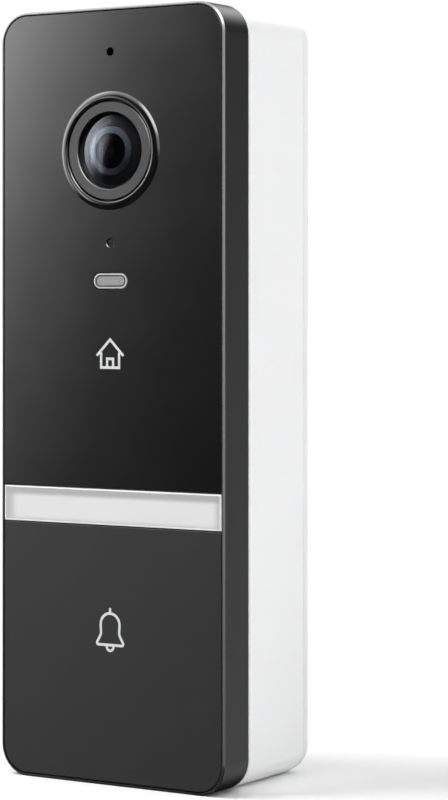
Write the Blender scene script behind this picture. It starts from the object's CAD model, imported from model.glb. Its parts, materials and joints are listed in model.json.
import json
import math

import bpy
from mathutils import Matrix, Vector


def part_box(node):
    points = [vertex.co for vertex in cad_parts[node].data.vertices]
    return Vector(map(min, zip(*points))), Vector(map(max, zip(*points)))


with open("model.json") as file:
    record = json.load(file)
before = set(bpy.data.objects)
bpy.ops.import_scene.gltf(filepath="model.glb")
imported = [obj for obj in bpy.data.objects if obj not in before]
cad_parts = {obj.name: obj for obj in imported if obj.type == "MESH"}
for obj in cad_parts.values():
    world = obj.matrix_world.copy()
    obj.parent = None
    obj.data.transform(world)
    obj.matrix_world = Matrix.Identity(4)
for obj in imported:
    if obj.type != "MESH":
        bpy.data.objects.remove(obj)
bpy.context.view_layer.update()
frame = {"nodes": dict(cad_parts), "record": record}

MM = 0.001

# front lens: radius of its outer face, and the slant over which its coating lets reflections show
LENS_CURVE = 21.15 * MM
LENS_SLANT_START = 0.19
LENS_SLANT_END = 0.35

# camera
CAMERA_TURN = math.radians(32.04)
CAMERA_DISTANCE = 0.5153
CAMERA_ASIDE = 0.0220
CAMERA_HEIGHT = 0.0943
CAMERA_FOCAL = 120.4
CAMERA_SHIFT = -0.130
SENSOR_WIDTH = 36.0

# light
ROOM_LEFT = 0.34
ROOM_RIGHT = 0.90
BACKDROP = 1.05
SUN_STRENGTH = 2.25
SUN_SPREAD = math.radians(24)
SUN_DIRECTION = (0.50, 0.30, -1)
FLOOR_HALF_WIDTH = 6.0

# the card that glossy faces mirror: how its glow grows per metre across and up
CARD_HALF_WIDTH = 0.5
CARD_HALF_HEIGHT = 0.4
CARD_PLACE = (-0.54, -0.80, 0.12)
CARD_ACROSS = -17.5
CARD_UP = 9.0
CARD_START = -0.52
CARD_TOP = 2.0
CARD_SIDE_FADE = (0.48, 0.22)
CARD_UPPER_FADE = (0.38, 0.22)
CARD_LOWER_FADE = (-0.38, -0.26)

# what glossy faces see of the room: direction, glow off it, glow at it, and between which cosines it grows
SOFT_BOXES = [
    ((0.0, 0.0, 1.0), 0.01, 5.0, 0.45, 1.0),  # overhead, with a faint glow all round
    ((0.50, -0.48, 0.72), 0.0, 14.0, 0.86, 0.98),  # high at the front right
    ((0.0, 0.85, 0.52), 0.0, 2.2, 0.94, 0.995),  # behind, above
    ((-0.93, -0.15, 0.35), 0.0, 6.0, 0.70, 1.0),  # left
    ((-0.80, 0.60, 0.10), 0.0, 1.2, 0.85, 1.0),  # behind left
    ((0.80, -0.48, 0.35), 0.0, 4.0, 0.80, 1.0),  # right
    ((0.50, 0.80, -0.35), 0.0, 0.7, 0.86, 1.0),  # behind right, low
]


# ---- shader helpers ------------------------------------------------------------------------

class Shader:
    """A new material with its node tree, ready for parts to be added."""

    def __init__(self, name):
        self.material = bpy.data.materials.new(name)
        self.material.use_nodes = True
        self.nodes = self.material.node_tree.nodes
        self.links = self.material.node_tree.links
        self.main = self.nodes["Principled BSDF"]
        self.place = self.nodes.new("ShaderNodeTexCoord").outputs["Object"]

    def node(self, kind, **values):
        made = self.nodes.new(kind)
        for key, value in values.items():
            made.inputs[key.replace("_", " ")].default_value = value
        return made

    def link(self, source, target):
        self.links.new(source, target)

    def noise(self, scale, detail=2.0, roughness=0.5):
        made = self.node("ShaderNodeTexNoise", Scale=scale, Detail=detail, Roughness=roughness)
        self.link(self.place, made.inputs["Vector"])
        return made.outputs["Fac"]

    def stretched_noise(self, scale, squeeze, detail=2.0):
        """Noise drawn out along the axes where squeeze is small."""
        mapping = self.node("ShaderNodeMapping")
        mapping.inputs["Scale"].default_value = squeeze
        self.link(self.place, mapping.inputs["Vector"])
        made = self.node("ShaderNodeTexNoise", Scale=scale, Detail=detail)
        self.link(mapping.outputs["Vector"], made.inputs["Vector"])
        return made.outputs["Fac"]

    def spread(self, value, low, high, start=0.3, end=0.7):
        """value, which runs from start to end, spread over low to high."""
        made = self.node("ShaderNodeMapRange")
        made.inputs["From Min"].default_value = start
        made.inputs["From Max"].default_value = end
        made.inputs["To Min"].default_value = low
        made.inputs["To Max"].default_value = high
        self.link(value, made.inputs["Value"])
        return made.outputs["Result"]

    def smooth(self, value, start, end, low=0.0):
        """A soft step from low to 1 as value goes from start to end."""
        made = self.node("ShaderNodeMapRange")
        made.interpolation_type = "SMOOTHSTEP"
        made.inputs["From Min"].default_value = start
        made.inputs["From Max"].default_value = end
        made.inputs["To Min"].default_value = low
        self.link(value, made.inputs["Value"])
        return made.outputs["Result"]

    def times(self, *values):
        result = values[0]
        for value in values[1:]:
            made = self.nodes.new("ShaderNodeMath")
            made.operation = "MULTIPLY"
            self.link(result, made.inputs[0])
            self.link(value, made.inputs[1])
            result = made.outputs[0]
        return result

    def mix(self, factor, first, second):
        made = self.nodes.new("ShaderNodeMix")
        made.data_type = "RGBA"
        self.link(factor, made.inputs[0])
        for socket, colour in ((6, first), (7, second)):
            if isinstance(colour, (tuple, list)):
                made.inputs[socket].default_value = (*colour[:3], 1.0)
            else:
                self.link(colour, made.inputs[socket])
        return made.outputs[2]

    def set(self, **values):
        for key, value in values.items():
            self.main.inputs[key.replace("_", " ")].default_value = value

    def bump(self, height, depth, strength=1.0):
        made = self.node("ShaderNodeBump", Strength=strength, Distance=depth)
        self.link(height, made.inputs["Height"])
        self.link(made.outputs["Normal"], self.main.inputs["Normal"])


def shade(colour, factor):
    return tuple(min(1.0, c * factor) for c in colour[:3])


def moulded(name, colour, rough, rough_span=0.06, grain=5000, depth=0.000012, vary=0.06, **extra):
    """Moulded plastic or rubber: fine grain, slightly uneven colour and sheen."""
    s = Shader(name)
    broad = s.noise(45, 3)
    s.link(s.mix(s.spread(broad, 0, 1), shade(colour, 1 - vary), shade(colour, 1 + vary)),
           s.main.inputs["Base Color"])
    s.link(s.spread(s.noise(320, 4), rough - rough_span, rough + rough_span),
           s.main.inputs["Roughness"])
    s.bump(s.noise(grain, 3, 0.6), depth)
    s.set(**extra)
    return s.material


def metal(name, colour, rough, squeeze=(1, 1, 40), depth=0.000006):
    """Metal with fine drawn or brushed lines."""
    s = Shader(name)
    s.link(s.mix(s.spread(s.noise(90, 3), 0, 1), shade(colour, 0.93), shade(colour, 1.05)),
           s.main.inputs["Base Color"])
    lines = s.stretched_noise(180, squeeze, 4)
    s.link(s.spread(lines, rough - 0.08, rough + 0.1), s.main.inputs["Roughness"])
    s.bump(lines, depth)
    s.set(Metallic=1.0)
    return s.material


def clear(name, colour, rough=0.02, index=1.5):
    """Clear glass or plastic with faint ripples."""
    s = Shader(name)
    s.link(s.mix(s.spread(s.noise(60), 0, 1), shade(colour, 0.97), colour),
           s.main.inputs["Base Color"])
    s.link(s.spread(s.noise(700, 4), rough, rough + 0.02), s.main.inputs["Roughness"])
    s.bump(s.noise(150, 1), 0.0000008)
    s.set(Transmission_Weight=1.0, IOR=index)
    return s.material


# ---- materials by the record's slots -------------------------------------------------------

def circuit_board(name, colour):
    """Solder resist with tracks showing through as a slightly raised pattern."""
    s = Shader(name)
    tracks = s.node("ShaderNodeTexBrick", Scale=420.0)
    tracks.offset = 0.37
    tracks.inputs["Mortar Size"].default_value = 0.09
    tracks.inputs["Color1"].default_value = (0, 0, 0, 1)
    tracks.inputs["Color2"].default_value = (0.25, 0.25, 0.25, 1)
    tracks.inputs["Mortar"].default_value = (1, 1, 1, 1)
    turn = s.node("ShaderNodeMapping", Rotation=(math.pi / 2, 0, 0))
    s.link(s.place, turn.inputs["Vector"])
    s.link(turn.outputs["Vector"], tracks.inputs["Vector"])
    s.link(s.mix(tracks.outputs["Color"], colour, shade(colour, 1.9)), s.main.inputs["Base Color"])
    s.link(s.spread(s.noise(500, 3), 0.3, 0.42), s.main.inputs["Roughness"])
    s.bump(tracks.outputs["Color"], 0.00002)
    return s.material


def gloss_fascia():
    """Polished black panel: deep gloss with faint smears, dust-fine ripples and a clear coat."""
    s = Shader("gloss_black_plastic")
    s.link(s.mix(s.spread(s.noise(30, 2), 0, 1), (0.0040, 0.0041, 0.0045), (0.0062, 0.0064, 0.0070)),
           s.main.inputs["Base Color"])
    s.link(s.spread(s.noise(110, 5, 0.6), 0.09, 0.13), s.main.inputs["Roughness"])
    s.bump(s.noise(26, 1), 0.000010, 0.25)
    s.set(IOR=1.5, Specular_IOR_Level=0.5)
    return s.material


def milky_diffuser():
    """Translucent white bar: bright over the light passage behind it, greyer near its edges."""
    s = Shader("milky_diffuser")
    axes = s.node("ShaderNodeSeparateXYZ")
    s.link(s.place, axes.inputs[0])
    low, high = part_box("light_bar")
    across, up = axes.outputs["X"], axes.outputs["Z"]
    glow = s.times(s.smooth(up, high.z - 1.1 * MM, high.z - 2.2 * MM),
                   s.smooth(up, low.z + 0.2 * MM, low.z + 1.2 * MM, 0.4),
                   s.smooth(across, low.x + 1.0 * MM, low.x + 3.6 * MM, 0.2),
                   s.smooth(across, high.x - 0.3 * MM, high.x - 2.2 * MM, 0.3))
    rim = s.times(s.smooth(up, high.z - 0.2 * MM, high.z - 0.45 * MM),
                  s.smooth(up, low.z + 0.2 * MM, low.z + 0.45 * MM),
                  s.smooth(across, low.x + 0.2 * MM, low.x + 0.5 * MM),
                  s.smooth(across, high.x - 0.2 * MM, high.x - 0.5 * MM))
    cloud = s.mix(s.noise(60, 2), (0.690, 0.690, 0.690), (0.694, 0.694, 0.694))
    body = s.mix(glow, (0.40, 0.40, 0.405), cloud)
    s.link(s.mix(rim, (0.86, 0.86, 0.865), body), s.main.inputs["Base Color"])
    s.link(s.spread(s.noise(1500, 3), 0.30, 0.32), s.main.inputs["Roughness"])
    s.bump(s.noise(2500, 2), 0.000004)
    s.set(Subsurface_Weight=0.3, Subsurface_Scale=0.0004, Subsurface_Radius=(1.0, 1.0, 1.0))
    return s.material


def window_grain():
    """Frosted window whose speckle shows as a fine grain, darker on the step round its pad."""
    s = Shader("window_diffuser")
    axes = s.node("ShaderNodeSeparateXYZ")
    s.link(s.place, axes.inputs[0])
    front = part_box("status_window")[0].y
    step = s.smooth(axes.outputs["Y"], front + 0.08 * MM, front + 0.2 * MM)
    speckle = s.noise(4200, 5, 0.7)
    grain = s.mix(s.spread(speckle, 0, 1, 0.35, 0.65), (0.14, 0.14, 0.143), (0.33, 0.33, 0.335))
    s.link(s.mix(step, grain, (0.05, 0.05, 0.052)), s.main.inputs["Base Color"])
    s.link(s.spread(s.noise(900, 3), 0.3, 0.5), s.main.inputs["Roughness"])
    s.bump(speckle, 0.00003)
    return s.material


def black_frame():
    """Satin black frame whose narrow front bevel is polished."""
    s = Shader("black_satin_plastic")
    axes = s.node("ShaderNodeSeparateXYZ")
    s.link(s.place, axes.inputs[0])
    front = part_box("front_frame")[0].y
    bevel = s.smooth(axes.outputs["Y"], front + 0.50 * MM, front + 0.42 * MM)
    s.link(s.mix(s.spread(s.noise(45, 3), 0, 1), (0.0165, 0.0167, 0.0172), (0.0185, 0.0187, 0.0192)),
           s.main.inputs["Base Color"])
    s.link(s.spread(bevel, 0.34, 0.22, 0, 1), s.main.inputs["Roughness"])
    s.link(s.spread(bevel, 0.45, 1.0, 0, 1), s.main.inputs["Specular IOR Level"])
    s.bump(s.noise(4200, 3, 0.6), 0.000016)
    return s.material


def coated_lens():
    """Front lens: clear glass whose coated front hides reflections head on and shows them aslant.
    Its hollow back hardly reflects at all."""
    s = Shader("lens_glass")
    low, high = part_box("front_lens")
    middle = Vector(((low.x + high.x) / 2, low.y + LENS_CURVE, (low.z + high.z) / 2))
    away = s.nodes.new("ShaderNodeVectorMath")
    away.operation = "DISTANCE"
    away.inputs[1].default_value = middle
    s.link(s.place, away.inputs[0])
    outside = s.smooth(away.outputs["Value"], LENS_CURVE - 0.30 * MM, LENS_CURVE - 0.12 * MM, 0.02)
    edge = s.node("ShaderNodeLayerWeight", Blend=0.5)
    s.link(s.mix(edge.outputs["Facing"], (0.93, 0.94, 0.96), (0.80, 0.85, 0.96)),
           s.main.inputs["Base Color"])
    shine = s.times(s.spread(edge.outputs["Facing"], 0.02, 1.0, LENS_SLANT_START, LENS_SLANT_END), outside)
    s.link(s.mix(shine, (0.0, 0.0, 0.0), (0.76, 0.83, 1.0)), s.main.inputs["Specular Tint"])
    s.link(s.spread(s.noise(300, 4), 0.02, 0.04), s.main.inputs["Roughness"])
    s.bump(s.noise(120, 1), 0.0000006)
    s.set(Transmission_Weight=1.0, IOR=1.52)
    return s.material


def inner_glass():
    """Inner elements: dim glass, the front one coated faint violet and the ones behind it amber."""
    s = Shader("inner_glass")
    axes = s.node("ShaderNodeSeparateXYZ")
    s.link(s.place, axes.inputs[0])
    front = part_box("inner_lenses")[0].y
    deeper = s.smooth(axes.outputs["Y"], front + 0.9 * MM, front + 1.1 * MM)
    s.link(s.mix(s.noise(160, 2), (0.55, 0.58, 0.64), (0.60, 0.62, 0.68)), s.main.inputs["Base Color"])
    s.link(s.spread(s.noise(500, 3), 0.03, 0.06), s.main.inputs["Roughness"])
    s.bump(s.noise(150, 1), 0.0000008)
    s.link(s.mix(deeper, (0.06, 0.05, 0.13), (1.0, 0.62, 0.50)), s.main.inputs["Specular Tint"])
    s.set(Transmission_Weight=1.0, IOR=1.4)
    return s.material


def from_record(entry):
    """A finished material for any slot that has no look of its own, from its class and colour."""
    name, kind, colour = entry["slot"], entry["class"], entry["base_color"]
    if "circuit" in name:
        return circuit_board(name, colour)
    if kind == "glass":
        return clear(name, colour)
    if kind in ("brushed_steel", "chrome", "aluminium", "brass"):
        return metal(name, colour, 0.32)
    if kind == "rubber":
        return moulded(name, colour, 0.75, 0.06, 2600, 0.00003)
    if kind == "gloss_plastic":
        return moulded(name, colour, 0.22, 0.05, 3000, 0.000005)
    return moulded(name, colour, 0.5)


LOOKS = {
    "gloss_black_plastic": gloss_fascia(),
    "matt_black_plastic": moulded("matt_black_plastic", (0.0125, 0.0126, 0.013), 0.42, 0.04, 4200,
                                  0.00003, 0.05, Specular_IOR_Level=0.28),
    "black_satin_plastic": black_frame(),
    "white_plastic": moulded("white_plastic", (0.86, 0.865, 0.87), 0.42, 0.05, 3600, 0.00002, 0.008,
                             Subsurface_Weight=0.12, Subsurface_Scale=0.002),
    "bracket_plastic": moulded("bracket_plastic", (0.80, 0.805, 0.81), 0.5, 0.05, 3200, 0.00003, 0.012),
    "milky_diffuser": milky_diffuser(),
    "window_diffuser": window_grain(),
    "window_rim_plastic": moulded("window_rim_plastic", (0.46, 0.46, 0.465), 0.25, 0.05, 3000, 0.00001),
    "print_grey": moulded("print_grey", (0.60, 0.602, 0.61), 0.5, 0.05, 6000, 0.000015, 0.03),
    "dark_satin_ring": metal("dark_satin_ring", (0.060, 0.0602, 0.0612), 0.40, (40, 1, 40), 0.000004),
    "inner_black_plastic": moulded("inner_black_plastic", (0.008, 0.008, 0.0085), 0.6, 0.05, 3000,
                                   0.00002, 0.05, Specular_IOR_Level=0.06),
    "lens_glass": coated_lens(),
    "inner_glass": inner_glass(),
    "aperture_metal": metal("aperture_metal", (0.095, 0.112, 0.132), 0.42, (40, 1, 40), 0.000004),
}


def dress_frame():
    """Gives every CAD node its finished material."""
    slots = {p["node"]: p["material_slot"] for p in frame["record"]["subparts"]}
    entries = {m["slot"]: m for m in frame["record"]["materials"]}
    for name, node in frame["nodes"].items():
        slot = slots[name]
        if slot not in LOOKS:
            LOOKS[slot] = from_record(entries[slot])
        node.data.materials.clear()
        node.data.materials.append(LOOKS[slot])


# ---- surroundings --------------------------------------------------------------------------

def make_floor():
    """Plain pale floor under the object, left out of glossy and clear faces."""
    size = FLOOR_HALF_WIDTH
    mesh = bpy.data.meshes.new("floor")
    mesh.from_pydata([(-size, -size, 0), (size, -size, 0), (size, size, 0), (-size, size, 0)],
                     [], [(0, 1, 2, 3)])
    floor = bpy.data.objects.new("floor", mesh)
    bpy.context.scene.collection.objects.link(floor)
    s = Shader("pale_floor")
    s.link(s.mix(s.noise(8, 3), (0.90, 0.90, 0.90), (0.93, 0.93, 0.93)), s.main.inputs["Base Color"])
    s.link(s.spread(s.noise(40, 3), 0.55, 0.7), s.main.inputs["Roughness"])
    s.bump(s.noise(300, 2), 0.00001)
    mesh.materials.append(s.material)
    floor.visible_glossy = False
    floor.visible_transmission = False


def make_sun():
    """One large soft light from above, a little to the left and in front."""
    data = bpy.data.lights.new("sun", "SUN")
    data.energy = SUN_STRENGTH
    data.angle = SUN_SPREAD
    lamp = bpy.data.objects.new("sun", data)
    lamp.rotation_euler = Vector(SUN_DIRECTION).to_track_quat("-Z", "Y").to_euler()
    lamp.visible_glossy = False
    bpy.context.scene.collection.objects.link(lamp)


def make_reflection_card():
    """Glowing card that only shows in glossy surfaces, brightest at its upper left, soft edged."""
    half_width, half_height = CARD_HALF_WIDTH, CARD_HALF_HEIGHT
    mesh = bpy.data.meshes.new("reflection_card")
    mesh.from_pydata([(-half_width, 0, -half_height), (half_width, 0, -half_height),
                      (half_width, 0, half_height), (-half_width, 0, half_height)],
                     [], [(0, 1, 2, 3)])
    card = bpy.data.objects.new("reflection_card", mesh)
    card.location = CARD_PLACE
    bpy.context.scene.collection.objects.link(card)
    s = Shader("card_glow")
    s.nodes.remove(s.main)
    axes = s.node("ShaderNodeSeparateXYZ")
    s.link(s.place, axes.inputs[0])
    across, up = axes.outputs["X"], axes.outputs["Z"]

    def line(value, slope, start):
        made = s.nodes.new("ShaderNodeMath")
        made.operation = "MULTIPLY_ADD"
        s.link(value, made.inputs[0])
        made.inputs[1].default_value = slope
        if isinstance(start, float):
            made.inputs[2].default_value = start
        else:
            s.link(start, made.inputs[2])
        return made.outputs[0]

    cap = s.nodes.new("ShaderNodeMath")
    cap.operation = "MINIMUM"
    cap.inputs[1].default_value = CARD_TOP
    s.link(line(up, CARD_UP, line(across, CARD_ACROSS, CARD_START)), cap.inputs[0])
    power = s.nodes.new("ShaderNodeMath")
    power.operation = "EXPONENT"
    s.link(cap.outputs[0], power.inputs[0])
    edge, full = CARD_SIDE_FADE
    fade = s.times(power.outputs[0], s.smooth(across, -edge, -full), s.smooth(across, edge, full),
                   s.smooth(up, *CARD_UPPER_FADE), s.smooth(up, *CARD_LOWER_FADE))
    glow = s.node("ShaderNodeEmission")
    s.link(fade, glow.inputs["Strength"])
    s.link(glow.outputs[0], s.nodes["Material Output"].inputs["Surface"])
    mesh.materials.append(s.material)
    card.visible_camera = False
    card.visible_diffuse = False
    card.visible_shadow = False
    card.visible_transmission = False


def make_world():
    """White to the camera, a soft room light for matt surfaces, and for glossy ones a dark room
    that brightens upwards and to the left, as with soft boxes above and beside the object."""
    world = bpy.data.worlds.new("studio")
    bpy.context.scene.world = world
    world.use_nodes = True
    nodes, links = world.node_tree.nodes, world.node_tree.links
    nodes.clear()
    place = nodes.new("ShaderNodeTexCoord").outputs["Generated"]
    path = nodes.new("ShaderNodeLightPath")

    def facing(toward, low, high, start, end):
        """low to high as a direction turns towards the one given."""
        dot = nodes.new("ShaderNodeVectorMath")
        dot.operation = "DOT_PRODUCT"
        dot.inputs[1].default_value = Vector(toward).normalized()
        links.new(place, dot.inputs[0])
        ramp = nodes.new("ShaderNodeMapRange")
        ramp.interpolation_type = "SMOOTHSTEP"
        ramp.inputs["From Min"].default_value = start
        ramp.inputs["From Max"].default_value = end
        ramp.inputs["To Min"].default_value = low
        ramp.inputs["To Max"].default_value = high
        links.new(dot.outputs["Value"], ramp.inputs["Value"])
        return ramp.outputs["Result"]

    def total(*parts):
        result = parts[0]
        for part in parts[1:]:
            add = nodes.new("ShaderNodeMath")
            links.new(result, add.inputs[0])
            links.new(part, add.inputs[1])
            result = add.outputs[0]
        return result

    def background(strength):
        made = nodes.new("ShaderNodeBackground")
        made.inputs["Color"].default_value = (1, 1, 1, 1)
        if isinstance(strength, float):
            made.inputs["Strength"].default_value = strength
        else:
            links.new(strength, made.inputs["Strength"])
        return made.outputs[0]

    def pick(ray, without, with_it):
        mix = nodes.new("ShaderNodeMixShader")
        links.new(path.outputs[ray], mix.inputs[0])
        links.new(without, mix.inputs[1])
        links.new(with_it, mix.inputs[2])
        return mix.outputs[0]

    room = background(facing((1, 0, 0), ROOM_LEFT, ROOM_RIGHT, -0.6, 0.8))
    boxes = background(total(*[facing(*box) for box in SOFT_BOXES]))
    out = nodes.new("ShaderNodeOutputWorld")
    links.new(pick("Is Camera Ray", pick("Is Glossy Ray", room, boxes), background(BACKDROP)),
              out.inputs["Surface"])


def make_camera():
    """Level camera at the front right, its view shifted down to keep the uprights straight."""
    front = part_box("front_frame")[0].y
    forward = Vector((-math.sin(CAMERA_TURN), math.cos(CAMERA_TURN), 0))
    right = Vector((math.cos(CAMERA_TURN), math.sin(CAMERA_TURN), 0))
    data = bpy.data.cameras.new("camera")
    data.sensor_width = SENSOR_WIDTH
    data.lens = CAMERA_FOCAL
    data.shift_y = CAMERA_SHIFT
    data.clip_start = 0.01
    camera = bpy.data.objects.new("camera", data)
    camera.location = (Vector((0, front, CAMERA_HEIGHT)) - forward * CAMERA_DISTANCE
                       + right * CAMERA_ASIDE)
    camera.rotation_euler = (math.pi / 2, 0, CAMERA_TURN)
    bpy.context.scene.collection.objects.link(camera)
    bpy.context.scene.camera = camera


dress_frame()
make_floor()
make_reflection_card()
make_world()
make_sun()
make_camera()
bpy.context.scene.view_settings.view_transform = "Standard"
